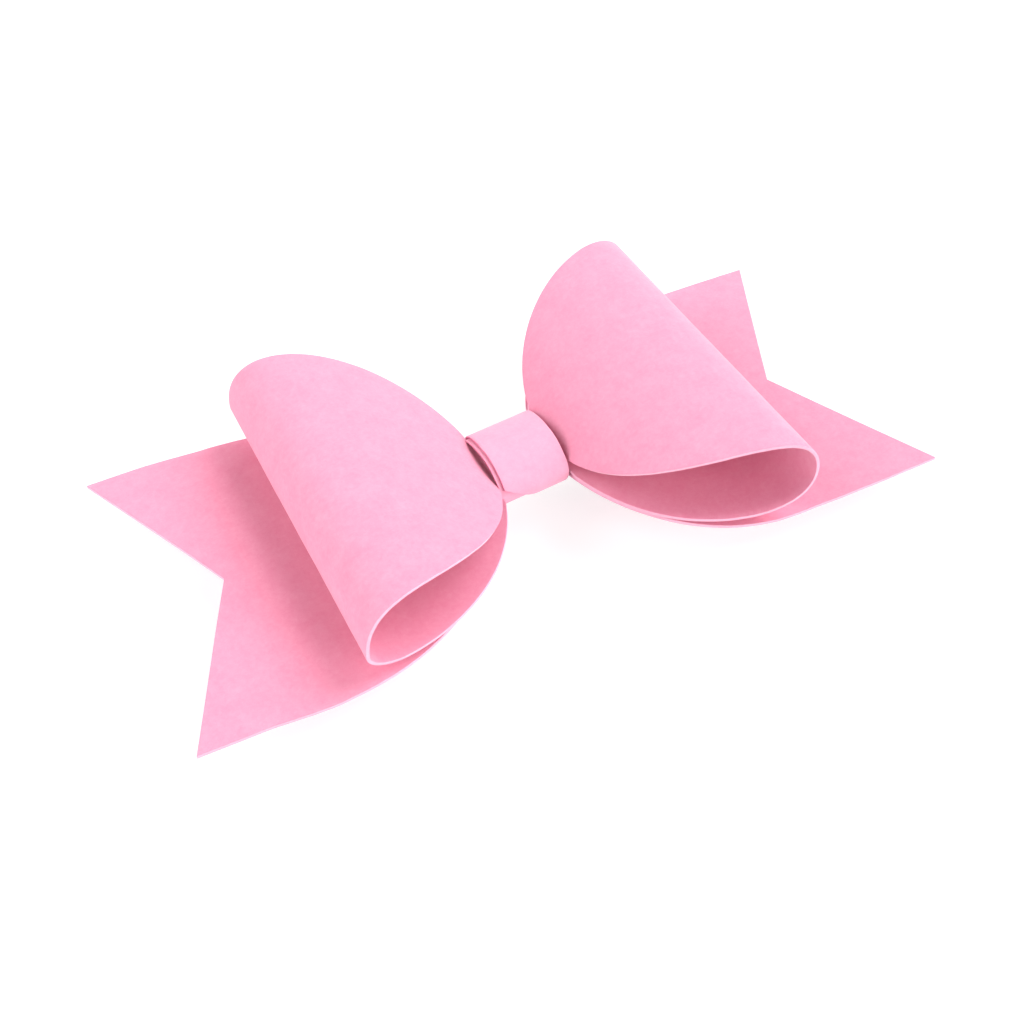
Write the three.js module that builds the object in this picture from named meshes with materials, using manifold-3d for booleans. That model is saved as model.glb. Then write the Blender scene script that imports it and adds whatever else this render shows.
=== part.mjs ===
// Bow barrette: two stiff fabric strips and a double turn of wrap, tied round a sprung metal hair clip.
// Millimetres. +X along the bow, +Y towards its back edge, +Z up; z = 0 is what the clip stands on.
import * as THREE from 'three';
import { mergeVertices } from 'three/addons/utils/BufferGeometryUtils.js';
import Module from 'manifold-3d';

const wasm = await Module();
wasm.setup();

// ---- driving dimensions ----
const TAIL_LEVEL = 5.5;        // height of the flat tail ends above the surface
const SHEET = 0.55;            // fabric thickness

// The tails lie flat at their ends and ride up over the clip at their pinched waist.
const TAIL = {
  length: 130, tipHalf: 29.8, notch: 13.9, notchRows: 12, waist: 3.8,
  hump: 3.3, humpHalf: 12, footX: 17, footZ: 0.1, flatFrom: 34,
  right: { swellFrom: 38, swellReach: 32.5 },
  left: { swellFrom: 41, swellReach: 34.9 },
};
// tuck: the loop strip reaches its full waist this far inside the wrap's edge.
// pinch: how far along its way from widest to nothing the lower sheet is when it meets the wrap.
const LOOP = {
  waist: 3.3, topAtWrap: 5.5, lowAtWrap: 4.35, wrapSide: 6.3, endGap: 0.6, tuck: 0.12, pinch: 0.964,
};
const LOOPS = {
  right: {
    side: 1, shoulder: [17, 18.8], fold: 37.6, foldZ: 10.3, rise: 12.8, drop: 8.6, belly: [23, 0.2],
    lobe: { half: 31, reach: 39.3, centre: 38.5 },
  },
  left: {
    side: -1, shoulder: [22, 17.8], fold: 38.6, foldZ: 7.2, rise: 13.2, drop: 6.6, belly: [17, 1.1],
    lobe: { half: 29.8, reach: 40.2, centre: 39.4 },
  },
};
// The band's outer skin, seen along the bow: y and z of its front, top, back and underside, z from the tails.
const WRAP = {
  half: 6, turnGap: 0.15, turns: 1.93, stepFrom: 0.92, seamAt: 0.03, skew: 0.09, steps: 96,
  front: [-8.5, 4.6], top: [-1.8, 8.5], back: [7, 4.8], underFrom: 3, underTo: -3.5, squat: 1.7,
};

const PLATE = { width: 6.4, thick: 0.7, crown: 7.65, pad: 4.0, padFrom: 23.5, end: 28.6, waist: 5.4 };
const HINGE = { x: -28, z: 1.6, pin: 0.45, bore: 0.55, knuckle: 1.2, head: 0.8, headHigh: 0.35 };
const LUG = { inner: 2.85, thick: 0.6, halfLength: 1.5 };
const ARM = {
  width: 4.4, thick: 0.6, crown: 3.9, level: 1.6, flatFrom: 22, end: 28.4, headFrom: 21.8, headWidth: 5.1,
};
const WINDOW = { from: 23.2, to: 26.8, half: 1.8 };
const SPRING = {
  width: 3.2, thick: 0.35, crown: 4.6, lift: 5.0, hook: 14.2, tab: 1.35, tabHalf: 0.7,
  slotHalf: 1, slotThick: 1.1, flatTo: 6, riseFrom: 10.2,
};
const CATCH = {
  from: 20.6, to: 27.4, thick: 0.4, top: 3.35, tongueHalf: 1.5, flangeTo: 22.6, flange: 2.9, flangeThick: 0.5,
};
const JAW = { inner: 1.05, thick: 0.4, from: 23.6, to: 26.3, top: 2.65, low: 0.4, lip: 0.25, lipHigh: 0.5 };
const TAB = { low: 0.3, reach: 31.4, shelf: 2.2, bendX: 29, splay: 3.6 };
const RIVET = { x: 25, shaft: 0.45, bore: 0.6, head: 0.85, headHigh: 0.4 };
const SEWING = { holes: [21.8, 18.8], y: 2.1, radius: 0.55 };
const PLAY = 0.1;              // endwise play of the pin and the rivet
const ROUND = 24;              // sides of a round piece

function finish(color, roughness, metalness) {
  return new THREE.MeshStandardMaterial({ color, roughness, metalness });
}
const FABRIC = finish('#f9b6d2', 0.9, 0);
const FABRIC_WRAP = finish('#fbc4dd', 0.9, 0);
const STEEL = finish('#b9bcc2', 0.3, 1);
const SPRING_STEEL = finish('#9fa2a8', 0.35, 1);

const bow = new THREE.Group();
bow.name = 'bow_barrette';

function piece(name, geometry, material) {
  const mesh = new THREE.Mesh(geometry, material);
  mesh.name = name;
  bow.add(mesh);
}

// ---- booleans ----
function solid(geometry) {
  const bare = geometry.index ? geometry.toNonIndexed() : geometry.clone();
  bare.deleteAttribute('normal');
  bare.deleteAttribute('uv');
  const merged = mergeVertices(bare, 1e-4);
  const vertProperties = merged.attributes.position.array;
  const triVerts = new Uint32Array(merged.index.array);
  return new wasm.Manifold(new wasm.Mesh({ numProp: 3, vertProperties, triVerts }));
}

function geometryOf(manifold) {
  const mesh = manifold.getMesh();
  const geometry = new THREE.BufferGeometry();
  geometry.setAttribute('position', new THREE.BufferAttribute(mesh.vertProperties, 3));
  geometry.setIndex(new THREE.BufferAttribute(mesh.triVerts, 1));
  geometry.computeVertexNormals();
  return geometry;
}

// ---- shared shapes ----
// A block between two opposite corners.
function block(low, high) {
  const size = high.map((v, i) => v - low[i]);
  const middle = high.map((v, i) => (v + low[i]) / 2);
  return new THREE.BoxGeometry(...size).translate(...middle);
}

// A round bar standing along Z, and one lying along Y.
function post(x, y, radius, from, to) {
  const bar = new THREE.CylinderGeometry(radius, radius, to - from, ROUND);
  return bar.rotateX(Math.PI / 2).translate(x, y, (from + to) / 2);
}

function crossbar(x, z, radius, halfLength) {
  return new THREE.CylinderGeometry(radius, radius, 2 * halfLength, ROUND).translate(x, 0, z);
}

// A sheet bent along a line in the XZ plane, given as points with the sheet straight across in Y.
// Each point carries its half width; inset pulls the middle of the two ends back, as a swallow tail has.
function bentSheet(line, thickness, halfWidth, inset = 0) {
  const last = line.length - 1;
  const across = inset ? [-1, 0, 1] : [-1, 1];
  const positions = [];
  const index = [];
  const rings = line.map((point, i) => {
    const before = line[Math.max(i - 1, 0)];
    const after = line[Math.min(i + 1, last)];
    const along = new THREE.Vector2().subVectors(after, before).normalize();
    const normal = new THREE.Vector2(-along.y, along.x).multiplyScalar(thickness / 2);
    const ends = Math.max(0, 1 - Math.min(i, last - i) / TAIL.notchRows);
    const back = inset * ends * Math.sign(point.x);
    const ring = [];
    for (const side of [1, -1]) {
      for (const v of side > 0 ? across : [...across].reverse()) {
        ring.push(positions.length / 3);
        const x = point.x - (v === 0 ? back : 0) + side * normal.x;
        positions.push(x, v * halfWidth(point, i), point.y + side * normal.y);
      }
    }
    return ring;
  });
  const count = rings[0].length;
  for (let i = 0; i < last; i += 1) {
    for (let k = 0; k < count; k += 1) {
      const next = (k + 1) % count;
      const [a, b] = [rings[i][k], rings[i][next]];
      const [c, d] = [rings[i + 1][next], rings[i + 1][k]];
      index.push(a, c, b, a, d, c);
    }
  }
  for (const [ring, flip] of [[rings[0], false], [rings[last], true]]) {
    for (let k = 0; k < across.length - 1; k += 1) {
      const [a, b, c, d] = [ring[k], ring[k + 1], ring[count - 2 - k], ring[count - 1 - k]];
      index.push(...(flip ? [a, c, b, a, d, c] : [a, b, c, a, c, d]));
    }
  }
  return closedGeometry(positions, index);
}

// Index order may come out inside out, so the sign of the volume settles it.
function closedGeometry(positions, index) {
  const at = (i) => new THREE.Vector3().fromArray(positions, 3 * i);
  let volume = 0;
  for (let i = 0; i < index.length; i += 3) {
    volume += at(index[i]).dot(at(index[i + 1]).cross(at(index[i + 2])));
  }
  const facing = volume < 0 ? [...index].reverse() : index;
  const geometry = new THREE.BufferGeometry();
  geometry.setAttribute('position', new THREE.Float32BufferAttribute(positions, 3));
  geometry.setIndex(facing);
  geometry.computeVertexNormals();
  return geometry;
}

function bezier(points, steps) {
  const curve = new THREE.CubicBezierCurve(...points.map((p) => new THREE.Vector2(...p)));
  return curve.getSpacedPoints(steps);
}

function mirrored(line) {
  return line.map((p) => new THREE.Vector2(-p.x, p.y)).reverse();
}

// A line symmetrical about x = 0: level over the middle, down through an S bend, then level to its end.
function archLine(crown, level, levelFrom, end, steps) {
  const crownRun = 0.52 * levelFrom;
  const levelRun = 0.74 * levelFrom;
  const half = bezier([[0, crown], [crownRun, crown], [levelRun, level], [levelFrom, level]], steps);
  const whole = [...half, new THREE.Vector2(end, level)];
  return [...mirrored(whole).slice(0, -1), ...whole];
}

// ---- tails: one strip under the loops, swallow-tailed at both ends ----
function tailHalfWidth(x) {
  if (Math.abs(x) < LOOP.wrapSide) return TAIL.waist;
  const { swellFrom, swellReach } = x < 0 ? TAIL.left : TAIL.right;
  const share = THREE.MathUtils.clamp((swellFrom - Math.abs(x)) / swellReach, 0, 1);
  return Math.max(TAIL.waist, TAIL.tipHalf * Math.sqrt(1 - share * share));
}

function tailStrip() {
  const { hump, humpHalf, footX, footZ, flatFrom } = TAIL;
  const half = TAIL.length / 2;
  const slope = bezier([[0, hump], [humpHalf, hump], [footX, footZ], [flatFrom, 0]], 30);
  const flat = [0.25, 0.5, 0.75, 1].map((t) => new THREE.Vector2(flatFrom + t * (half - flatFrom), 0));
  const side = [...slope, ...flat];
  const line = [...mirrored(side).slice(0, -1), ...side];
  for (const point of line) point.y += TAIL_LEVEL;
  return bentSheet(line, SHEET, (p) => tailHalfWidth(p.x), TAIL.notch);
}

// ---- loops: one strip, both ends brought back to the middle under the wrap ----
function loopSide({ fold, foldZ, rise, drop, belly, shoulder }) {
  const { wrapSide, topAtWrap, lowAtWrap, endGap, tuck } = LOOP;
  const over = bezier([[wrapSide, topAtWrap], shoulder, [fold, foldZ + rise], [fold, foldZ]], 34);
  const under = bezier([[fold, foldZ], [fold, foldZ - drop], belly, [wrapSide, lowAtWrap]], 26);
  const start = [0, wrapSide - tuck].map((x) => new THREE.Vector2(x, topAtWrap));
  const end = [wrapSide - tuck, endGap / 2].map((x) => new THREE.Vector2(x, lowAtWrap));
  return [...start, ...over, ...under.slice(1), ...end];
}

// The strip's half width swells to the lobe's widest line and falls again, by the distance along the strip.
function lobeHalfWidths(loop, points) {
  const travelled = [0];
  for (let i = 1; i < points.length; i += 1) {
    travelled.push(travelled[i - 1] + points[i].distanceTo(points[i - 1]));
  }
  const { half, reach, centre } = loop.lobe;
  const widest = LOOP.wrapSide + centre;
  const lowReach = (travelled[points.length - 2] - widest) / LOOP.pinch;
  return points.map((p, i) => {
    if (p.x < LOOP.wrapSide - LOOP.tuck / 2) return LOOP.waist;
    const away = travelled[i] - widest;
    const share = Math.min(1, away < 0 ? -away / reach : away / lowReach);
    return Math.max(LOOP.waist, half * Math.sqrt(1 - share * share));
  });
}

function loopStrip() {
  const sides = [LOOPS.left, LOOPS.right].map((loop) => {
    const points = loopSide(loop);
    const widths = lobeHalfWidths(loop, points);
    return points.map((p, i) => ({ x: loop.side * p.x, z: p.y + TAIL_LEVEL, width: widths[i] }));
  });
  const stations = [...sides[0].reverse(), ...sides[1].slice(1)];
  const line = stations.map(({ x, z }) => new THREE.Vector2(x, z));
  return bentSheet(line, SHEET, (p, i) => stations[i].width);
}

// ---- centre wrap: a narrow strip wound twice round the bow and the clip's plate ----
function wrapOutline() {
  const { front, top, back, underFrom, underTo, squat } = WRAP;
  const path = new THREE.Path();
  path.moveTo(...front);
  path.bezierCurveTo(front[0], front[1] + squat, top[0] - 2 * squat, top[1], ...top);
  path.bezierCurveTo(top[0] + 2.4 * squat, top[1], back[0], back[1] + 1.25 * squat, ...back);
  path.bezierCurveTo(back[0], back[1] - 1.4 * squat, underFrom + 1.5 * squat, 0, underFrom, 0);
  path.lineTo(underTo, 0);
  path.bezierCurveTo(underTo - 1.8 * squat, 0, front[0], front[1] - 1.4 * squat, ...front);
  return path;
}

function centreWrap() {
  const { steps, turns, stepFrom, turnGap, seamAt, half, skew } = WRAP;
  const around = wrapOutline().getSpacedPoints(steps).slice(0, steps);
  const first = Math.round(seamAt * steps);
  const line = [];
  for (let i = 0; i <= steps * turns; i += 1) {
    const here = around[(first + i) % steps];
    const ahead = around[(first + i + 1) % steps];
    const behind = around[(first + i + steps - 1) % steps];
    const tangent = new THREE.Vector2().subVectors(ahead, behind).normalize();
    const inward = new THREE.Vector2(tangent.y, -tangent.x);
    const step = THREE.MathUtils.smoothstep(i / steps, stepFrom, 1);
    line.push(here.clone().addScaledVector(inward, SHEET / 2 + (SHEET + turnGap) * step));
  }
  // The outline is drawn with Y in place of X, so a quarter turn about Z stands it across the bow.
  const band = bentSheet(line, SHEET, () => half).rotateZ(Math.PI / 2);
  const skewed = new THREE.Matrix4().makeShear(skew, 0, 0, 0, 0, 0);
  return band.applyMatrix4(skewed).translate(0, 0, TAIL_LEVEL);
}

// ---- clip: arched plate, hinge, clasp arm, tension spring and sprung catch ----
function basePlate() {
  const line = archLine(PLATE.crown, PLATE.pad, PLATE.padFrom, PLATE.end, 16);
  const taper = (p) => {
    const share = THREE.MathUtils.smoothstep(Math.abs(p.x), WRAP.half, 2 * WRAP.half);
    return THREE.MathUtils.lerp(PLATE.waist, PLATE.width, share) / 2;
  };
  const above = PLATE.crown + PLATE.thick;
  let plate = solid(bentSheet(line, PLATE.thick, taper));
  const { x, z, bore } = HINGE;
  for (const side of [-1, 1]) {
    const y = side * (LUG.inner + LUG.thick / 2);
    const from = [x - LUG.halfLength, y - LUG.thick / 2, 0];
    const to = [x + LUG.halfLength, y + LUG.thick / 2, PLATE.pad];
    plate = plate.add(solid(block(from, to)));
    for (const hole of SEWING.holes) {
      plate = plate.subtract(solid(post(-hole, side * SEWING.y, SEWING.radius, 0, above)));
    }
    const { hook, slotHalf, slotThick } = SPRING;
    const middle = side * hook;
    const slot = block([middle - slotThick / 2, -slotHalf, 0], [middle + slotThick / 2, slotHalf, above]);
    plate = plate.subtract(solid(slot));
  }
  plate = plate.subtract(solid(crossbar(x, z, bore, PLATE.width)));
  plate = plate.subtract(solid(post(RIVET.x, 0, RIVET.bore, 0, above)));
  return geometryOf(plate);
}

// A shaft with a formed head at each end, turned about its own length.
function headedPin(shaft, head, headHigh, halfGrip) {
  const far = halfGrip + headHigh;
  const corner = halfGrip + headHigh / 2;
  const upper = [[shaft, halfGrip], [head, halfGrip], [head, corner], [0.8 * head, far], [0, far]];
  const lower = upper.map(([r, z]) => [r, -z]).reverse();
  return new THREE.LatheGeometry([...lower, ...upper].map((p) => new THREE.Vector2(...p)), ROUND);
}

function hingePin() {
  const grip = LUG.inner + LUG.thick + PLAY;
  return headedPin(HINGE.pin, HINGE.head, HINGE.headHigh, grip).translate(HINGE.x, 0, HINGE.z);
}

function catchRivet() {
  const top = PLATE.pad + PLATE.thick / 2 + PLAY;
  const bottom = CATCH.top - CATCH.thick - PLAY;
  const grip = (top - bottom) / 2;
  const rivet = headedPin(RIVET.shaft, RIVET.head, RIVET.headHigh, grip).rotateX(Math.PI / 2);
  return rivet.translate(RIVET.x, 0, (top + bottom) / 2);
}

function claspArm() {
  const arch = archLine(ARM.crown, ARM.level, ARM.flatFrom, ARM.end, 16);
  const line = [new THREE.Vector2(HINGE.x, ARM.level), ...arch.slice(1)];
  let arm = solid(bentSheet(line, ARM.thick, () => ARM.width / 2));
  const halfHead = ARM.headWidth / 2;
  const low = ARM.level - ARM.thick / 2;
  const head = block([ARM.headFrom, -halfHead, low], [ARM.end, halfHead, low + ARM.thick]);
  arm = arm.add(solid(head)).add(solid(crossbar(HINGE.x, HINGE.z, HINGE.knuckle, ARM.width / 2)));
  arm = arm.subtract(solid(crossbar(HINGE.x, HINGE.z, HINGE.bore, ARM.width)));
  const window = block([WINDOW.from, -WINDOW.half, 0], [WINDOW.to, WINDOW.half, ARM.crown]);
  arm = arm.subtract(solid(window));
  return geometryOf(arm);
}

// The spring hangs by two upturned tabs that pass up through slots in the plate.
function tensionSpring() {
  const { crown, lift, hook, thick, tab, tabHalf, width, flatTo, riseFrom } = SPRING;
  const side = bezier([[0, crown], [flatTo, crown], [riseFrom, lift], [hook, lift]], 12);
  const line = [...mirrored(side).slice(0, -1), ...side];
  let spring = solid(bentSheet(line, thick, () => width / 2));
  for (const end of [-hook, hook]) {
    const upturn = block([end - thick / 2, -tabHalf, lift], [end + thick / 2, tabHalf, lift + tab]);
    spring = spring.add(solid(upturn));
  }
  return geometryOf(spring);
}

function catchBracket() {
  const { from, to, thick, top, tongueHalf, flangeTo, flange, flangeThick } = CATCH;
  const outer = flange + flangeThick;
  let bracket = solid(block([from, -tongueHalf, top - thick], [to, tongueHalf, top]));
  bracket = bracket.add(solid(block([from, -outer, top - thick], [flangeTo, outer, top])));
  for (const side of [-1, 1]) {
    const y = side * (flange + flangeThick / 2);
    const foot = block([from, y - flangeThick / 2, 0], [flangeTo, y + flangeThick / 2, top]);
    bracket = bracket.add(solid(foot));
  }
  return geometryOf(bracket.subtract(solid(post(RIVET.x, 0, RIVET.bore, 0, PLATE.crown))));
}

// One jaw: a spring tongue that hangs through the arm's window, with a lip, and a finger tab beyond the arm.
function catchJaw(side) {
  const { inner, thick, from, to, top, low, lip, lipHigh } = JAW;
  const outer = inner + thick;
  const box = (x0, y0, z0, x1, y1, z1) => {
    const [near, far] = side > 0 ? [y0, y1] : [-y1, -y0];
    return solid(block([x0, near, z0], [x1, far, z1]));
  };
  let jaw = box(from, inner, low, to, outer, top);
  jaw = jaw.add(box(from, inner, low, to, outer + lip, low + lipHigh));
  jaw = jaw.add(box(from, inner, TAB.shelf, TAB.bendX + thick, outer, top));
  jaw = jaw.add(box(TAB.bendX, inner, TAB.low, TAB.bendX + thick, TAB.splay, top));
  jaw = jaw.add(box(TAB.bendX, TAB.splay - thick, TAB.low, TAB.reach, TAB.splay, top));
  return geometryOf(jaw);
}

piece('tail_strip', tailStrip(), FABRIC);
piece('loop_strip', loopStrip(), FABRIC);
piece('centre_wrap', centreWrap(), FABRIC_WRAP);
piece('base_plate', basePlate(), STEEL);
piece('hinge_pin', hingePin(), STEEL);
piece('clasp_arm', claspArm(), STEEL);
piece('tension_spring', tensionSpring(), SPRING_STEEL);
piece('catch_bracket', catchBracket(), STEEL);
piece('catch_jaw_front', catchJaw(-1), SPRING_STEEL);
piece('catch_jaw_back', catchJaw(1), SPRING_STEEL);
piece('catch_rivet', catchRivet(), STEEL);

export default bow;
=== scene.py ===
"""A pink bow barrette: two stiff fabric strips and a double turn of band, tied round a sprung metal clip.

Everything is in metres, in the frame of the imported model: +X along the bow, +Y to its back, +Z up.
"""

import math

import bmesh
import bpy
from mathutils import Matrix, Vector


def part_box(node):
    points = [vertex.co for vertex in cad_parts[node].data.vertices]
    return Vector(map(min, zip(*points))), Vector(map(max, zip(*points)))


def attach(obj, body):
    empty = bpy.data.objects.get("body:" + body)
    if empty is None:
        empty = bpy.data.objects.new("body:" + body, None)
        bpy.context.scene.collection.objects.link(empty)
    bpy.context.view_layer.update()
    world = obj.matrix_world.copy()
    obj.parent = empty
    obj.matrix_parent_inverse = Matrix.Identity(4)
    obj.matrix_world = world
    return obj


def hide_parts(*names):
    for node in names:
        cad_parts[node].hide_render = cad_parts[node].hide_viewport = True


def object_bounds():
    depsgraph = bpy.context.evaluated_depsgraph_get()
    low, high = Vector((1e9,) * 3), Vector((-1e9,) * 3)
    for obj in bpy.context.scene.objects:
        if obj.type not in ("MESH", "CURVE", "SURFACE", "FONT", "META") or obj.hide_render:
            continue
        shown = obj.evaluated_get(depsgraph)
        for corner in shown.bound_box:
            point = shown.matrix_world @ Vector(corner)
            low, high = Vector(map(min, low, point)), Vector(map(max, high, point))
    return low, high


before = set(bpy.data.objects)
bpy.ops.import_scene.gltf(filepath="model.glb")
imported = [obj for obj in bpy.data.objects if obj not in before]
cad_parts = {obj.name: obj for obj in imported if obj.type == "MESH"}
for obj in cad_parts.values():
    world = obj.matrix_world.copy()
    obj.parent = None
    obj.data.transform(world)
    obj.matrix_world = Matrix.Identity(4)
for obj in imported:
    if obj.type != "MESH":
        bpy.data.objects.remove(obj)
cad_low, cad_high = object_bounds()

# ---- Camera ----
# A short telephoto lens, held above the front left of the bow and aimed down at its middle.
mm = 0.001
sheet = 0.55 * mm                                       # the fabric's thickness
tail_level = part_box("tail_strip")[0].z + sheet / 2      # the height of the flat ends of the tails

camera_data = bpy.data.cameras.new("camera")
camera_data.sensor_width = 36
camera_data.lens = 46.76
camera_data.clip_start = 0.01
camera = bpy.data.objects.new("camera", camera_data)
bpy.context.scene.collection.objects.link(camera)
bpy.context.scene.camera = camera


def direction(azimuth, elevation):
    """From the bow towards a lamp or camera; azimuth 0 is in front, 90 is to the right; in degrees."""
    a, e = math.radians(azimuth), math.radians(elevation)
    return Vector((math.sin(a) * math.cos(e), -math.cos(a) * math.cos(e), math.sin(e)))


def aim_camera(azimuth, elevation, roll, place):
    """Puts the camera at a place, looking back along a direction; roll turns it about its own axis."""
    back = direction(azimuth, elevation)
    level = Vector((0, 0, 1)).cross(back).normalized()
    rise = back.cross(level)
    r = math.radians(roll)
    right = math.cos(r) * level + math.sin(r) * rise
    up = -math.sin(r) * level + math.cos(r) * rise
    turn = Matrix((right, up, back)).transposed().to_4x4()
    camera.matrix_world = Matrix.Translation(place) @ turn


camera_place = Vector((-71.7 * mm, -141.2 * mm, tail_level + 158.4 * mm))
aim_camera(azimuth=-26.75, elevation=46.7, roll=-0.39, place=camera_place)

# ---- Floor and light ----
# A plain white table in a white tent, which is brightest low down all round, with five broad lamps
# shining in through it. The table top glows a little, so that what lies on it throws only a faint shadow.
world = bpy.data.worlds.new("tent")
world.use_nodes = True
tent = world.node_tree
tent_way = tent.nodes.new("ShaderNodeTexCoord")
tent_height = tent.nodes.new("ShaderNodeSeparateXYZ")
tent.links.new(tent_way.outputs["Generated"], tent_height.inputs["Vector"])
tent_fade = tent.nodes.new("ShaderNodeMapRange")
tent_fade.interpolation_type = "SMOOTHSTEP"
tent_fade.inputs["From Min"].default_value = 0.2
tent_fade.inputs["From Max"].default_value = 0.7
tent_fade.inputs["To Min"].default_value = 0.9
tent_fade.inputs["To Max"].default_value = 0.1
tent.links.new(tent_height.outputs["Z"], tent_fade.inputs["Value"])
tent.links.new(tent_fade.outputs["Result"], tent.nodes["Background"].inputs["Strength"])
tent.nodes["Background"].inputs["Color"].default_value = (1, 1, 1, 1)
bpy.context.scene.world = world
bpy.context.scene.view_settings.view_transform = "Standard"


def soft_lamp(name, strength, azimuth, elevation):
    """A lamp as broad, seen from the bow, as a large diffuser close by."""
    lamp = bpy.data.lights.new(name, "SUN")
    lamp.energy = strength
    lamp.angle = math.radians(40)
    obj = bpy.data.objects.new(name, lamp)
    bpy.context.scene.collection.objects.link(obj)
    obj.rotation_euler = direction(azimuth, elevation).to_track_quat("Z", "Y").to_euler()


soft_lamp("key_lamp", 2.3, azimuth=85, elevation=50)
soft_lamp("back_right_lamp", 1.0, azimuth=138, elevation=35)
soft_lamp("back_left_lamp", 2.0, azimuth=-122, elevation=36)
soft_lamp("left_lamp", 0.9, azimuth=-90, elevation=12)
soft_lamp("front_lamp", 2.0, azimuth=25, elevation=24)

table_half = 4.0               # metres, so that its edge is far off in every view
corners = [(x * table_half, y * table_half, 0) for x, y in ((-1, -1), (1, -1), (1, 1), (-1, 1))]
table_mesh = bpy.data.meshes.new("table_top")
table_mesh.from_pydata(corners, [], [(0, 1, 2, 3)])
table_top = bpy.data.objects.new("table_top", table_mesh)
table_top.location.z = cad_low.z - 0.02 * mm
bpy.context.scene.collection.objects.link(table_top)

table_white = bpy.data.materials.new("table_white")
table_white.use_nodes = True
table_shader = table_white.node_tree.nodes["Principled BSDF"]
table_shader.inputs["Base Color"].default_value = (0.35, 0.35, 0.35, 1)
table_shader.inputs["Roughness"].default_value = 0.9
table_shader.inputs["Specular IOR Level"].default_value = 0
table_shader.inputs["Emission Color"].default_value = (1, 1, 1, 1)
table_shader.inputs["Emission Strength"].default_value = 0.73
table_mesh.materials.append(table_white)

# ---- Tails ----
# One strip of thin stiff felt lies under the loops, over the clip. It is pinched at the middle by the
# band and cut at both ends to a swallow tail. Its cut sides are of a paler felt than its faces.


def felt(name, deep, light, nap):
    """Short-napped felt that wanders between two tones; nap is how far its fibres stand up."""
    cloth = bpy.data.materials.new(name)
    cloth.use_nodes = True
    tree = cloth.node_tree
    shader = tree.nodes["Principled BSDF"]
    shader.inputs["Roughness"].default_value = 0.9
    shader.inputs["Specular IOR Level"].default_value = 0.15
    shader.inputs["Sheen Weight"].default_value = 0.3
    shader.inputs["Sheen Roughness"].default_value = 0.4

    def noise(scale, detail, roughness, distortion=0.0, vector=None):
        """Patches, scale of them to the metre."""
        made = tree.nodes.new("ShaderNodeTexNoise")
        made.inputs["Scale"].default_value = scale
        made.inputs["Detail"].default_value = detail
        made.inputs["Roughness"].default_value = roughness
        made.inputs["Distortion"].default_value = distortion
        tree.links.new(vector or where.outputs["Object"], made.inputs["Vector"])
        return made.outputs["Fac"]

    def blend(share, first, second):
        """The second value by a share, and the first by the rest."""
        made = tree.nodes.new("ShaderNodeMix")
        made.data_type = "FLOAT"
        made.inputs[0].default_value = share
        tree.links.new(first, made.inputs[2])
        tree.links.new(second, made.inputs[3])
        return made.outputs[0]

    where = tree.nodes.new("ShaderNodeTexCoord")
    combed = tree.nodes.new("ShaderNodeMapping")
    combed.inputs["Rotation"].default_value = (0.5, 0.9, 0.6)
    combed.inputs["Scale"].default_value = (1, 3.5, 2)
    tree.links.new(where.outputs["Object"], combed.inputs["Vector"])

    clouds = noise(300, 4, 0.55)
    grain = noise(1300, 5, 0.72, 0.4)
    fibres = noise(2600, 3, 0.6, 1.5, combed.outputs["Vector"])
    pile = blend(0.4, grain, fibres)
    mottle = blend(0.75, clouds, pile)

    tones = tree.nodes.new("ShaderNodeValToRGB")
    tones.color_ramp.elements[0].position = 0.36
    tones.color_ramp.elements[0].color = (*deep, 1)
    tones.color_ramp.elements[1].position = 0.64
    tones.color_ramp.elements[1].color = (*light, 1)
    tree.links.new(mottle, tones.inputs["Fac"])
    tree.links.new(tones.outputs["Color"], shader.inputs["Base Color"])

    relief = tree.nodes.new("ShaderNodeBump")
    relief.inputs["Strength"].default_value = 0.6
    relief.inputs["Distance"].default_value = nap
    tree.links.new(pile, relief.inputs["Height"])
    tree.links.new(relief.outputs["Normal"], shader.inputs["Normal"])
    return cloth


bow_felt = felt("bow_felt", (0.77, 0.25, 0.375), (0.82, 0.335, 0.46), 0.05 * mm)
cut_felt = felt("cut_felt", (0.81, 0.37, 0.50), (0.87, 0.47, 0.60), 0.04 * mm)


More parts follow.
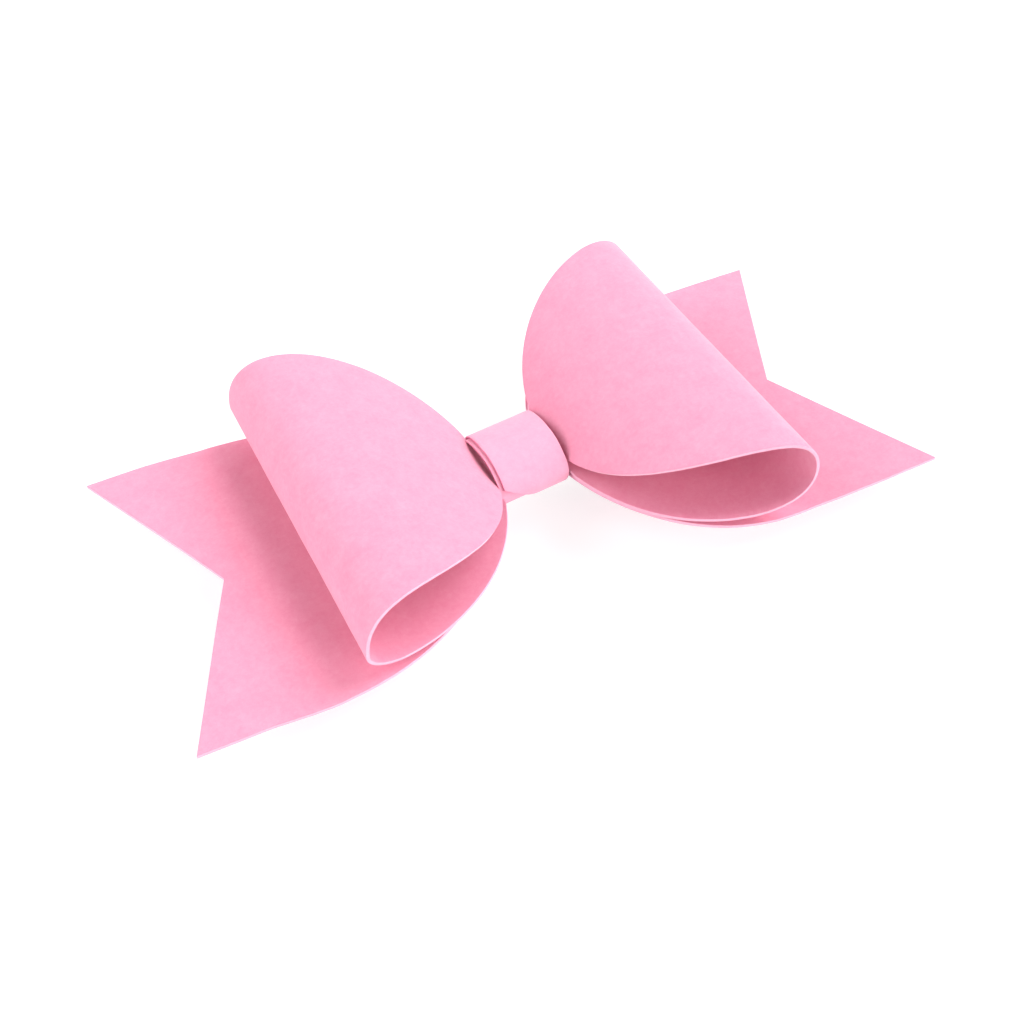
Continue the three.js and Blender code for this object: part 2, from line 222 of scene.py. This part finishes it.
def bent_strip_nodes():
    """The tree that turns a guide line into a strip of felt bent along it.

    The guide lies in the XZ plane and carries half_width and shift at each point. The strip runs straight
    across in Y. Its ends can be notched or slanted, and its cut sides get a material of their own.
    """
    tree = bpy.data.node_groups.new("bent_strip", "GeometryNodeTree")
    face = tree.interface.new_socket
    face("Geometry", in_out="INPUT", socket_type="NodeSocketGeometry")
    for name, kind, value in (
        ("Thickness", "NodeSocketFloat", sheet),
        ("Steps Along", "NodeSocketInt", 300),
        ("Steps Across", "NodeSocketInt", 60),
        ("Notch", "NodeSocketFloat", 0.0),
        ("Slant", "NodeSocketFloat", 0.0),
        ("Cut Wander", "NodeSocketFloat", 0.0),
        ("Waves", "NodeSocketFloat", 0.0),
        ("Seed", "NodeSocketFloat", 1.0),
    ):
        face(name, in_out="INPUT", socket_type=kind).default_value = value
    face("Felt", in_out="INPUT", socket_type="NodeSocketMaterial")
    face("Cut Felt", in_out="INPUT", socket_type="NodeSocketMaterial")
    face("Geometry", in_out="OUTPUT", socket_type="NodeSocketGeometry")

    def node(kind, inputs=None, **settings):
        made = tree.nodes.new(kind)
        for key, value in settings.items():
            setattr(made, key, value)
        for key, value in (inputs or {}).items():
            if isinstance(value, bpy.types.NodeSocket):
                tree.links.new(value, made.inputs[key])
            else:
                made.inputs[key].default_value = value
        return made

    def sums(operation, first, second=0.0):
        return node("ShaderNodeMath", {0: first, 1: second}, operation=operation).outputs[0]

    def vectors(operation, first, second):
        return node("ShaderNodeVectorMath", {0: first, 1: second}, operation=operation).outputs[0]

    def scaled(vector, by):
        return node("ShaderNodeVectorMath", {0: vector, "Scale": by}, operation="SCALE").outputs[0]

    def carried(name):
        found = node("GeometryNodeInputNamedAttribute", {"Name": name}, data_type="FLOAT")
        return found.outputs["Attribute"]

    given = node("NodeGroupInput").outputs
    guide = node("GeometryNodeMeshToCurve", {"Mesh": given["Geometry"]}).outputs["Curve"]
    length = node("GeometryNodeCurveLength", {"Curve": guide}).outputs["Length"]
    grid = node("GeometryNodeMeshGrid", {
        "Size X": 1.0, "Size Y": 2.0, "Vertices X": given["Steps Along"], "Vertices Y": given["Steps Across"],
    }).outputs["Mesh"]
    square = node("ShaderNodeSeparateXYZ", {0: node("GeometryNodeInputPosition").outputs[0]}).outputs
    share = sums("ADD", square["X"], 0.5)
    across = square["Y"]

    # A notched end starts later in its middle, and a slanted one starts later towards one side.
    from_side = sums("SUBTRACT", 1.0, sums("ABSOLUTE", across))
    from_front = sums("ADD", 0.5, sums("MULTIPLY", across, 0.5))
    notch = sums("DIVIDE", sums("MULTIPLY", given["Notch"], from_side), length)
    slant = sums("DIVIDE", sums("MULTIPLY", given["Slant"], from_front), length)
    along = node("ShaderNodeMapRange", {
        "Value": share, "To Min": sums("ADD", notch, slant), "To Max": sums("SUBTRACT", 1.0, notch),
    }).outputs["Result"]

    def sampled(value):
        return node("GeometryNodeSampleCurve", {"Curves": guide, "Value": value, "Factor": along},
                    mode="FACTOR", data_type="FLOAT", use_all_curves=True).outputs

    # The cut wanders a little from its line, and the sheet waves a little, each by smooth noise.
    cut_scale, wave_scale = 220.0, 55.0
    width = sampled(carried("half_width"))
    wander = node("ShaderNodeTexNoise", {
        "W": sums("ADD", sums("MULTIPLY", along, sums("MULTIPLY", length, cut_scale)), given["Seed"]),
        "Scale": 1.0, "Detail": 3.0,
    }, noise_dimensions="1D").outputs["Fac"]
    rough_cut = sums("MULTIPLY", sums("SUBTRACT", wander, 0.5), given["Cut Wander"])
    sideways = sums("ADD", sampled(carried("shift"))["Value"],
                    sums("MULTIPLY", across, sums("ADD", width["Value"], rough_cut)))
    normal = vectors("NORMALIZE", vectors("CROSS_PRODUCT", width["Tangent"], (0, 1, 0)), (0, 0, 0))

    line = vectors("ADD", width["Position"], node("ShaderNodeCombineXYZ", {"Y": sideways}).outputs[0])
    swell = node("ShaderNodeTexNoise", {
        "Vector": line, "W": given["Seed"], "Scale": wave_scale, "Detail": 1.0,
    }, noise_dimensions="4D").outputs["Fac"]
    wave = sums("MULTIPLY", sums("SUBTRACT", swell, 0.5), given["Waves"])
    half = sums("MULTIPLY", given["Thickness"], -0.5)
    place = vectors("ADD", line, scaled(normal, sums("ADD", half, wave)))

    marked = node("GeometryNodeStoreNamedAttribute", {"Geometry": grid, "Name": "lift", "Value": normal},
                  data_type="FLOAT_VECTOR", domain="POINT").outputs["Geometry"]
    bent = node("GeometryNodeSetPosition", {"Geometry": marked, "Position": place}).outputs["Geometry"]
    plain = node("GeometryNodeSetMaterial", {"Geometry": bent, "Material": given["Felt"]}).outputs["Geometry"]
    away = node("GeometryNodeInputNamedAttribute", {"Name": "lift"}, data_type="FLOAT_VECTOR")
    raised = node("GeometryNodeExtrudeMesh", {
        "Mesh": plain, "Offset": away.outputs["Attribute"], "Offset Scale": given["Thickness"],
        "Individual": False,
    }, mode="FACES").outputs
    edged = node("GeometryNodeSetMaterial", {
        "Geometry": raised["Mesh"], "Selection": raised["Side"], "Material": given["Cut Felt"],
    }).outputs["Geometry"]
    under = node("GeometryNodeFlipFaces", {"Mesh": plain}).outputs["Mesh"]
    both = node("GeometryNodeJoinGeometry")
    tree.links.new(edged, both.inputs["Geometry"])
    tree.links.new(under, both.inputs["Geometry"])
    merged = node("GeometryNodeMergeByDistance", {"Geometry": both.outputs[0], "Distance": 0.001 * mm})
    closed = merged.outputs["Geometry"]
    cleared = node("GeometryNodeRemoveAttribute", {"Geometry": closed, "Name": "lift"}).outputs["Geometry"]
    real = node("GeometryNodeRealizeInstances", {"Geometry": cleared}).outputs["Geometry"]
    result = node("NodeGroupOutput")
    tree.links.new(real, result.inputs["Geometry"])
    return tree


bent_strip = bent_strip_nodes()


def made_plain(obj, corner=40):
    """Replaces an object's modifiers by the plain mesh they make, smooth but for its corners."""
    depsgraph = bpy.context.evaluated_depsgraph_get()
    mesh = bpy.data.meshes.new_from_object(obj.evaluated_get(depsgraph))
    obj.modifiers.clear()
    obj.data = mesh
    mesh.name = obj.name
    mesh.shade_smooth()
    mesh.set_sharp_from_angle(angle=math.radians(corner))
    return obj


def rounded(obj, width, angle=50):
    """Eases an object's edges that turn by more than an angle."""
    bevel = obj.modifiers.new("rounded", "BEVEL")
    bevel.width = width
    bevel.segments = 2
    bevel.limit_method = "ANGLE"
    bevel.angle_limit = math.radians(angle)


def strip_along(name, points, felts, **sizes):
    """A strip of felt along (x, z, half width, sideways shift) points, with its cut corners eased."""
    mesh = bpy.data.meshes.new(name)
    mesh.from_pydata([(p[0], 0, p[1]) for p in points], [(i, i + 1) for i in range(len(points) - 1)], [])
    for key, column in (("half_width", 2), ("shift", 3)):
        mesh.attributes.new(key, "FLOAT", "POINT").data.foreach_set("value", [p[column] for p in points])
    obj = bpy.data.objects.new(name, mesh)
    bpy.context.scene.collection.objects.link(obj)
    modifier = obj.modifiers.new("strip", "NODES")
    modifier.node_group = bent_strip
    faces = bent_strip.interface.items_tree
    sockets = {item.name: item.identifier for item in faces if item.in_out == "INPUT"}
    for key, value in {"Felt": felts[0], "Cut Felt": felts[1], **sizes}.items():
        modifier[sockets[key]] = value
    rounded(obj, 0.08 * mm)
    return made_plain(obj)


def cubic(a, b, c, d, steps):
    """Points of a cubic curve from a to d, in a plane."""
    points = []
    for i in range(steps + 1):
        t = i / steps
        k = ((1 - t) ** 3, 3 * (1 - t) ** 2 * t, 3 * (1 - t) * t * t, t ** 3)
        points.append(tuple(sum(k[j] * p[axis] for j, p in enumerate((a, b, c, d))) for axis in (0, 1)))
    return points


wrap_side = 6.3 * mm           # just outside the band, along the bow
tail_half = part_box("tail_strip")[1].x
tail_tip = 29.7 * mm
tail_waist = 3.8 * mm          # half the width under the band
tail_notch = 13.9 * mm
tail_bulge = 0.15 * mm         # the sides swell a little between the tips and the loops
bulge_from = 40 * mm
tail_hump = 3.3 * mm           # how far the middle rides up over the clip
tail_foot = 34 * mm            # where the flat part begins


def tail_half_width(x):
    """An ellipse's quarter from the waist out to the widest line, then near enough straight to the tip."""
    away = abs(x)
    if away < wrap_side:
        return tail_waist
    swell_from, swell_reach = (45 * mm, 38.7 * mm) if x < 0 else (38 * mm, 32.5 * mm)
    share = min(1, max(0, (swell_from - away) / swell_reach))
    past = min(1, max(0, (away - bulge_from) / (tail_half - bulge_from)))
    bulge = tail_bulge * math.sin(math.pi * past)
    return max(tail_waist, tail_tip * math.sqrt(1 - share * share) + bulge)


def smooth(share, low, high):
    """0 up to low, 1 from high, and an S curve between."""
    t = min(1, max(0, (share - low) / (high - low)))
    return t * t * (3 - 2 * t)


def tail_shift(x):
    """The left tail bows a little to the front between the band and its tip."""
    if x > 0:
        return 0
    return -0.7 * mm * smooth(-x, wrap_side, 15 * mm) * (1 - smooth(-x, 44 * mm, 56 * mm))


tail_side = cubic((0, tail_hump), (12 * mm, tail_hump), (17 * mm, 0.1 * mm), (tail_foot, 0), 60)
tail_side += [(tail_foot + (tail_half - tail_foot) * i / 30, 0) for i in range(1, 31)]
tail_line = [(-x, z) for x, z in reversed(tail_side[1:])] + tail_side
tail_guide = [(x, z + tail_level, tail_half_width(x), tail_shift(x)) for x, z in tail_line]
tails = strip_along("tails", tail_guide, (bow_felt, cut_felt), **{
    "Steps Along": 330, "Steps Across": 61, "Notch": tail_notch,
    "Cut Wander": 0.12 * mm, "Waves": 0.25 * mm, "Seed": 3.0,
})
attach(tails, "bow_and_plate")
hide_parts("tail_strip")

# ---- Loops ----
# A second strip of the same felt, with its two ends brought back to the middle, makes both loops. The right
# one stands a little taller, and the band at the middle holds all four sheets.
loop_half = 30.5 * mm
loop_waist = 3.3 * mm          # half the width under the band
loop_top = 5.5 * mm            # the heights of the upper and lower sheets at the band, above the tails
loop_low = 4.35 * mm
loop_tuck = 0.12 * mm          # the strip reaches its waist this far inside the band's edge
loop_end = 0.3 * mm            # half the gap between the strip's two ends
pinch = 0.964                  # how far along its way from widest to nothing each lower sheet is at the band


def loop_side(fold, shoulder, rise, belly, drop, half, widest, lobe_reach, lean, low_lean, low_spread):
    """Half of the strip: from the middle of its top, out round the fold, and back underneath.

    fold is the outermost point, shoulder and rise shape the sheet above it, belly and drop the one below.
    The half width is greatest a distance, widest, along the strip from the band, and falls to nothing in
    lobe_reach. lean shifts the fold in Y; low_lean and low_spread shift and widen the lower sheet beside
    the band.
    """
    over = cubic((wrap_side, loop_top), shoulder, (fold[0], fold[1] + rise), fold, 110)
    under = cubic(fold, (fold[0], fold[1] - drop), belly, (wrap_side, loop_low), 90)
    inside = wrap_side - loop_tuck
    path = [(0, loop_top), (inside, loop_top), *over, *under[1:], (inside, loop_low), (loop_end, loop_low)]
    travelled = [0]
    for before, here in zip(path, path[1:]):
        travelled.append(travelled[-1] + math.dist(before, here))
    low_reach = (travelled[-2] - wrap_side - widest) / pinch
    points = []
    for (x, z), run in zip(path, travelled):
        away = run - wrap_side - widest
        share = min(1, -away / lobe_reach if away < 0 else away / low_reach)
        low_near = smooth(away, 0, low_reach / 2) * (1 - smooth(x, wrap_side, 27 * mm))
        width = half * math.sqrt(1 - share * share) + low_spread * low_near
        if x < wrap_side - loop_tuck / 2:
            width = loop_waist
        shift = lean * x / fold[0] + low_lean * low_near
        points.append((x, z + tail_level, max(loop_waist, width), shift))
    return points


right_side = loop_side(fold=(37.6 * mm, 10.3 * mm), shoulder=(17 * mm, 18.8 * mm), rise=12.8 * mm,
                       belly=(23 * mm, 0.2 * mm), drop=8.6 * mm, half=loop_half,
                       widest=38.5 * mm, lobe_reach=39.1 * mm,
                       lean=-0.5 * mm, low_lean=-1.2 * mm, low_spread=-0.5 * mm)
left_side = loop_side(fold=(38.6 * mm, 7.2 * mm), shoulder=(22 * mm, 17.8 * mm), rise=13.2 * mm,
                      belly=(17 * mm, 1.1 * mm), drop=6.6 * mm, half=29.8 * mm,
                      widest=39.4 * mm, lobe_reach=40.2 * mm,
                      lean=-0.1 * mm, low_lean=-0.5 * mm, low_spread=0.6 * mm)
loop_guide = [(-x, z, width, shift) for x, z, width, shift in reversed(left_side)] + right_side[1:]
loops = strip_along("loops", loop_guide, (bow_felt, cut_felt), **{
    "Steps Along": 460, "Steps Across": 49, "Cut Wander": 0.12 * mm, "Waves": 0.25 * mm, "Seed": 8.0,
})
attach(loops, "bow_and_plate")
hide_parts("loop_strip")

# ---- Band ----
# A narrow strip of a slightly paler felt goes twice round the bow and the clip's plate and is glued down
# at the front with a slanting cut. The inner turn peeps out at the left, and both stand clear of the
# loops in an arch.
band_felt = felt("band_felt", (0.80, 0.31, 0.44), (0.84, 0.38, 0.51), 0.04 * mm)
# The band's cut sides are a darker, redder felt than its faces: painted shade, standing in for the shadow in
# the gap between its two turns.
band_cut_painted_shade = felt("band_cut_painted_shade", (0.68, 0.17, 0.31), (0.76, 0.24, 0.38), 0.03 * mm)
band_sheet = 0.4 * mm
band_half = 6 * mm
turn_pitch = band_sheet + 0.1 * mm
front, top, back = (-8.5, 4.6), (-1.8, 8.5), (7, 4.8)            # its outline seen along the bow, in mm
under_back, under_front = (3, 0), (-3.5, 0)
outline = cubic(front, (-8.5, 6.3), (-5.2, 8.5), top, 60)
outline += cubic(top, (2.28, 8.5), (7, 6.93), back, 60)[1:]
outline += cubic(back, (7, 2.42), (5.55, 0), under_back, 40)[1:] + [under_front]
outline += cubic(under_front, (-6.56, 0), (-8.5, 2.22), front, 40)[1:]
run_to = [0]
for before, here in zip(outline, outline[1:]):
    run_to.append(run_to[-1] + math.dist(before, here))
girth = run_to[-1] * mm


def on_outline(share):
    """The point a share of the way round the band's outline, from its front, and the way it goes there."""
    run = (share % 1) * run_to[-1]
    i = next(k for k, end in enumerate(run_to[1:]) if run <= end)
    before, here = Vector(outline[i]), Vector(outline[i + 1])
    part = (run - run_to[i]) / (run_to[i + 1] - run_to[i])
    return before.lerp(here, part) * mm, (here - before).normalized()


slant_turns = 0.2              # how much of a turn the slanting cut takes up
band_turns = 1.93
cut_at = 0.03                  # where the slanting cut ends, in turns from the front
inner_shows = 0.65 * mm        # how far the inner turn lies to the left
band_skew = 0.09               # the bow is tied a little askew
band_guide = []
for i in range(361):
    turn = cut_at - slant_turns + (band_turns + slant_turns) * i / 360
    spot, way = on_outline(turn)
    inner = smooth(turn, 0.70, 0.82)
    spot += Vector((way.y, -way.x)) * (band_sheet / 2 + turn_pitch * inner)
    band_guide.append((spot.x, spot.y + tail_level, band_half, inner_shows * inner))
band = strip_along("band", band_guide, (band_felt, band_cut_painted_shade), **{
    "Thickness": band_sheet, "Steps Along": 300, "Steps Across": 25,
    "Slant": slant_turns * girth, "Cut Wander": 0.08 * mm, "Seed": 5.0,
})
skew = Matrix.Identity(4)
skew[1][0] = band_skew
band.data.transform(skew @ Matrix.Rotation(math.radians(90), 4, "Z"))
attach(band, "bow_and_plate")
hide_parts("centre_wrap")

# ---- Plate ----
# The plate under the bow is stamped from sheet steel, arched to the head and plated with nickel. Its
# front and back lugs carry the hinge, and the bow is sewn or glued to it under the band.


def rolled_steel(name, bright, dull, polish):
    """Steel with a fine rolled grain along the clip, and duller patches where it has been handled."""
    metal = bpy.data.materials.new(name)
    metal.use_nodes = True
    tree = metal.node_tree
    shader = tree.nodes["Principled BSDF"]
    shader.inputs["Metallic"].default_value = 1
    where = tree.nodes.new("ShaderNodeTexCoord")
    rolled = tree.nodes.new("ShaderNodeMapping")
    rolled.inputs["Scale"].default_value = (0.06, 1, 1)
    tree.links.new(where.outputs["Object"], rolled.inputs["Vector"])

    def noise(scale, detail, vector):
        made = tree.nodes.new("ShaderNodeTexNoise")
        made.inputs["Scale"].default_value = scale
        made.inputs["Detail"].default_value = detail
        tree.links.new(vector, made.inputs["Vector"])
        return made.outputs["Fac"]

    def between(value, low, high):
        made = tree.nodes.new("ShaderNodeMapRange")
        made.inputs["From Min"].default_value = 0.35
        made.inputs["From Max"].default_value = 0.65
        made.inputs["To Min"].default_value = low
        made.inputs["To Max"].default_value = high
        tree.links.new(value, made.inputs["Value"])
        return made.outputs["Result"]

    grain = noise(9000, 3, rolled.outputs["Vector"])
    handled = noise(260, 5, where.outputs["Object"])
    tones = tree.nodes.new("ShaderNodeMix")
    tones.data_type = "RGBA"
    tones.inputs["A"].default_value = (*bright, 1)
    tones.inputs["B"].default_value = (*dull, 1)
    tree.links.new(between(handled, 0, 1), tones.inputs["Factor"])
    tree.links.new(tones.outputs["Result"], shader.inputs["Base Color"])
    tree.links.new(between(handled, polish, polish + 0.16), shader.inputs["Roughness"])
    scratches = tree.nodes.new("ShaderNodeBump")
    scratches.inputs["Strength"].default_value = 0.25
    scratches.inputs["Distance"].default_value = 0.004 * mm
    tree.links.new(grain, scratches.inputs["Height"])
    tree.links.new(scratches.outputs["Normal"], shader.inputs["Normal"])
    return metal


def in_metal(node, metal, body, edge):
    """A clip piece in its own metal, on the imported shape, with its stamped or formed edges eased."""
    build = bmesh.new()
    build.from_mesh(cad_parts[node].data)
    bmesh.ops.remove_doubles(build, verts=build.verts, dist=0.001 * mm)
    bmesh.ops.dissolve_limit(build, angle_limit=math.radians(1), verts=build.verts, edges=build.edges)
    mesh = bpy.data.meshes.new(node + "_metal")
    build.to_mesh(mesh)
    build.free()
    mesh.materials.clear()
    mesh.materials.append(metal)
    obj = bpy.data.objects.new(node + "_metal", mesh)
    bpy.context.scene.collection.objects.link(obj)
    rounded(obj, edge, angle=35)
    made_plain(obj, corner=25)
    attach(obj, body)
    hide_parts(node)


nickel = rolled_steel("nickel_plate", (0.78, 0.77, 0.75), (0.66, 0.65, 0.64), 0.22)
in_metal("base_plate", nickel, "bow_and_plate", 0.1 * mm)

# ---- Hinge pin ----
# A bright drawn wire through the plate's two lugs and the arm's rolled end, headed over on both sides.
bright_wire = rolled_steel("bright_wire", (0.82, 0.81, 0.80), (0.72, 0.71, 0.70), 0.16)
in_metal("hinge_pin", bright_wire, "bow_and_plate", 0.06 * mm)

# ---- Clasp arm ----
# The arm that closes on the hair: arched sheet steel, rolled round the pin at one end and widened at the
# other, where the catch's tongues come through its window. The same nickel plate as the rest of the clip.
in_metal("clasp_arm", nickel, "clasp", 0.1 * mm)

# ---- Tension spring ----
# A bowed leaf of hardened steel, left unplated, so it is darker and a little blue. Its two upturned ends
# hook through slots in the plate, and its middle presses on the hair.
hard_steel = rolled_steel("hard_steel", (0.55, 0.56, 0.59), (0.42, 0.43, 0.47), 0.26)
in_metal("tension_spring", hard_steel, "bow_and_plate", 0.06 * mm)

# ---- Catch ----
# A folded bracket riveted under the plate's end, and two sprung tongues that finger and thumb squeeze
# together. Their lips hold the arm up, and they are of the spring's bare steel.
in_metal("catch_bracket", nickel, "bow_and_plate", 0.08 * mm)
in_metal("catch_rivet", bright_wire, "bow_and_plate", 0.06 * mm)
for side in ("front", "back"):
    in_metal("catch_jaw_" + side, hard_steel, side + "_jaw", 0.06 * mm)
